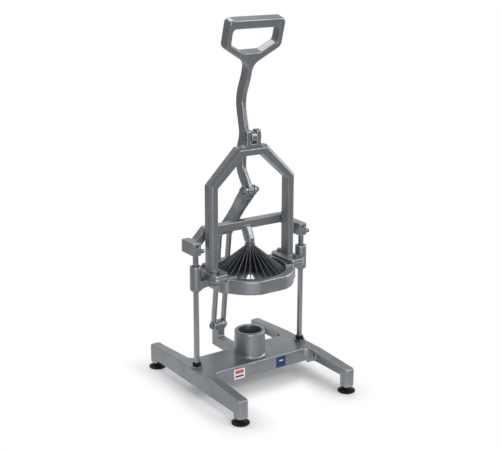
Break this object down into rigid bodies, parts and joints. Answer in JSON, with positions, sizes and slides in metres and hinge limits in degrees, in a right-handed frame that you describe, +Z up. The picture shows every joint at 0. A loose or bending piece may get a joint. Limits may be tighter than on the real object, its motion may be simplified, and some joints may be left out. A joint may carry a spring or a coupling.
{
  "type": "lever wedging press",
  "caption": "Table-top lever press: a yoke on two guide rods drives a ring of radial blades down over a fruit or vegetable on a hollow pedestal.",
  "frame": {"origin": "middle of the footprint, on the surface the feet stand on, under the middle between the guide rods", "axes": "+Z up along the guide rods, +X to the operator's right, +Y away from the operator"},
  "size_m": [0.248, 0.3, 0.6304],
  "materials": {
    "cast_aluminium": "sand cast and tumbled, satin grey",
    "polished_steel": "ground and polished",
    "blade_steel": "ground stainless sheet",
    "plated_steel": "bright plated",
    "bronze": "sintered bronze bushing",
    "rubber": "moulded black rubber",
    "label_film": "printed film with plain bands"
  },
  "bodies": {
    "base": {"base_casting": "cast_aluminium", "post_bushing": "bronze", "foot_front_left": "rubber", "foot_front_right": "rubber", "foot_rear_left": "rubber", "foot_rear_right": "rubber", "foot_screws": "plated_steel", "pedestal": "cast_aluminium", "pedestal_bolt": "plated_steel", "guide_rod_left": "polished_steel", "guide_rod_right": "polished_steel", "rod_collars": "plated_steel", "rod_nuts": "plated_steel", "rod_bumper_left": "rubber", "rod_bumper_right": "rubber", "front_labels": "label_film", "crossbar": "cast_aluminium", "crossbar_set_screws": "plated_steel", "crossbar_clamp_screws": "plated_steel", "ejector_pin": "polished_steel"},
    "head": {"blade_ring": "cast_aluminium", "rod_bushing_left": "bronze", "rod_bushing_right": "bronze", "blades_odd": "blade_steel", "blades_even": "blade_steel", "core_tube": "polished_steel", "core_collar": "polished_steel", "blade_retainer": "blade_steel", "yoke": "cast_aluminium", "yoke_screws": "plated_steel", "lever_pin": "plated_steel", "lever_pin_clips": "plated_steel"},
    "lever": {"lever": "cast_aluminium", "lever_bushing": "bronze", "knee_bushing": "bronze"},
    "link": {"link": "cast_aluminium", "link_washers": "plated_steel", "link_bolt": "plated_steel", "link_nut": "plated_steel", "link_pivot_screws": "plated_steel"}
  },
  "joints": [
    {"name": "head_slide", "type": "slide", "parent": "base", "child": "head", "axis": [0, 0, 1], "range_m": [-0.1016, 0]},
    {"name": "lever_hinge", "type": "hinge", "parent": "head", "child": "lever", "pos_m": [0, -0.0045, 0.434], "axis": [1, 0, 0], "range_deg": [0, 100]},
    {"name": "link_hinge", "type": "hinge", "parent": "lever", "child": "link", "pos_m": [0, 0.004, 0.3407], "axis": [1, 0, 0], "range_deg": [-117, 0]}
  ],
  "couplings": [
    {"joint": "head_slide", "follows": "lever_hinge", "m_per_rad": -0.058006},
    {"joint": "link_hinge", "follows": "lever_hinge", "ratio": -1.1658}
  ]
}
